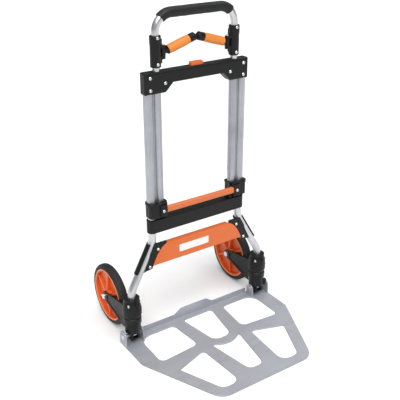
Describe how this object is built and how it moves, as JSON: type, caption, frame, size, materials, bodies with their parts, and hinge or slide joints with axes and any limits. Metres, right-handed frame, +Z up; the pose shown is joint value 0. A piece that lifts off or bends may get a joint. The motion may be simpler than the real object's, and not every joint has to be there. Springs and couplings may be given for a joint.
{
  "type": "folding hand truck",
  "caption": "Folding hand truck with a telescopic tubular frame, swing-in wheels, and a folding slotted toe plate.",
  "frame": {"origin": "on the floor, midway between the lower tubes, on the underside of the toe plate's back strip", "axes": "+X across the truck to its right seen from the front, +Y backwards away from the toe plate, +Z up"},
  "size_m": [0.4732, 0.514, 0.8475],
  "materials": {
    "tube": "satin",
    "upright": "satin",
    "black": "fine texture",
    "orange": "satin",
    "bar_orange": "satin",
    "grip_orange": "satin",
    "foam": "foam",
    "rim": "satin",
    "tyre": "matt",
    "plate": "satin",
    "steel": "bright",
    "label": "blank"
  },
  "bodies": {
    "base_frame": {"side_tube_left": "tube", "side_tube_right": "tube", "corner_casting_left": "black", "corner_casting_right": "black", "tube_collar_left": "black", "tube_collar_right": "black", "panel_gusset_left": "black", "panel_gusset_right": "black", "tube_guides": "black", "pinch_bolts": "steel", "lower_crossbar": "black", "kick_panel": "orange", "panel_screws": "steel", "label_plate": "label"},
    "toe_plate": {"toe_plate": "plate", "hinge_pins": "steel", "hinge_barrels": "steel"},
    "mid_frame": {"upright_left": "upright", "upright_right": "upright", "lower_bracket_left": "black", "lower_bracket_right": "black", "bracket_screws": "steel", "upper_crossbar_front": "black", "upper_crossbar_rear": "black", "crossbar_edge_screws": "steel", "crossbar_middle_screws": "steel", "button_spring": "steel"},
    "handle": {"handle_tube": "tube", "foam_grip": "foam", "sleeve_left": "black", "sleeve_right": "black", "sleeve_screws": "steel", "handle_guides": "black", "arm_pivot_pins": "steel"},
    "release_button": {"release_button": "orange"},
    "release_bar": {"release_bar": "bar_orange"},
    "wheel_fork_left": {"wheel_fork_left": "black", "axle_bolt_left": "steel", "axle_nut_left": "steel"},
    "wheel_left": {"tyre_left": "tyre", "rim_left": "rim", "hub_bush_left": "steel"},
    "arm_left": {"arm_ferrule_left": "black", "arm_grip_left": "grip_orange", "arm_tip_left": "black"},
    "handle_latch_pin_left": {"handle_latch_pin_left": "steel"},
    "frame_latch_pin_left": {"frame_latch_pin_left": "steel"},
    "wheel_fork_right": {"wheel_fork_right": "black", "axle_bolt_right": "steel", "axle_nut_right": "steel"},
    "wheel_right": {"tyre_right": "tyre", "rim_right": "rim", "hub_bush_right": "steel"},
    "arm_right": {"arm_ferrule_right": "black", "arm_grip_right": "grip_orange", "arm_tip_right": "black"},
    "handle_latch_pin_right": {"handle_latch_pin_right": "steel"},
    "frame_latch_pin_right": {"frame_latch_pin_right": "steel"}
  },
  "joints": [
    {"name": "toe_plate_fold", "type": "hinge", "parent": "base_frame", "child": "toe_plate", "pos_m": [0, -0.008, 0.0265], "axis": [-1, 0, 0], "range_deg": [0, 90]},
    {"name": "wheel_swing_left", "type": "hinge", "parent": "base_frame", "child": "wheel_fork_left", "pos_m": [-0.204, -0.006, 0.09], "axis": [0, 0, -1], "range_deg": [0, 90]},
    {"name": "wheel_spin_left", "type": "hinge", "parent": "wheel_fork_left", "child": "wheel_left", "pos_m": [-0.204, 0.111, 0.085], "axis": [1, 0, 0], "continuous": true},
    {"name": "wheel_swing_right", "type": "hinge", "parent": "base_frame", "child": "wheel_fork_right", "pos_m": [0.204, -0.006, 0.09], "axis": [0, 0, 1], "range_deg": [0, 90]},
    {"name": "wheel_spin_right", "type": "hinge", "parent": "wheel_fork_right", "child": "wheel_right", "pos_m": [0.204, 0.111, 0.085], "axis": [1, 0, 0], "continuous": true},
    {"name": "frame_slide", "type": "slide", "parent": "base_frame", "child": "mid_frame", "axis": [0, 0, 1], "range_m": [0, 0.17]},
    {"name": "handle_slide", "type": "slide", "parent": "mid_frame", "child": "handle", "axis": [0, 0, 1], "range_m": [0, 0.19]},
    {"name": "button_press", "type": "slide", "parent": "mid_frame", "child": "release_button", "axis": [0, 0, -1], "range_m": [0, 0.005], "stiffness_N_per_m": 300, "springref_m": -0.01, "deforming": ["button_spring"]},
    {"name": "bar_press", "type": "slide", "parent": "mid_frame", "child": "release_bar", "axis": [0, 0, -1], "range_m": [0, 0.006], "stiffness_N_per_m": 300, "springref_m": -0.01},
    {"name": "handle_latch_left", "type": "slide", "parent": "mid_frame", "child": "handle_latch_pin_left", "axis": [1, 0, 0], "range_m": [0, 0.0041]},
    {"name": "frame_latch_left", "type": "slide", "parent": "mid_frame", "child": "frame_latch_pin_left", "axis": [0, -1, 0], "range_m": [0, 0.0041]},
    {"name": "arm_swing_left", "type": "hinge", "parent": "handle", "child": "arm_left", "pos_m": [-0.09, 0, 0.7485], "axis": [0, 0, 1], "range_deg": [0, 90]},
    {"name": "handle_latch_right", "type": "slide", "parent": "mid_frame", "child": "handle_latch_pin_right", "axis": [-1, 0, 0], "range_m": [0, 0.0041]},
    {"name": "frame_latch_right", "type": "slide", "parent": "mid_frame", "child": "frame_latch_pin_right", "axis": [0, -1, 0], "range_m": [0, 0.0041]},
    {"name": "arm_swing_right", "type": "hinge", "parent": "handle", "child": "arm_right", "pos_m": [0.09, 0, 0.7485], "axis": [0, 0, -1], "range_deg": [0, 90]}
  ],
  "couplings": [
    {"joint": "wheel_swing_left", "follows": "toe_plate_fold", "ratio": 1},
    {"joint": "handle_latch_left", "follows": "button_press", "ratio": 0.8},
    {"joint": "frame_latch_left", "follows": "bar_press", "ratio": 0.6667},
    {"joint": "wheel_swing_right", "follows": "toe_plate_fold", "ratio": 1},
    {"joint": "handle_latch_right", "follows": "button_press", "ratio": 0.8},
    {"joint": "frame_latch_right", "follows": "bar_press", "ratio": 0.6667}
  ]
}
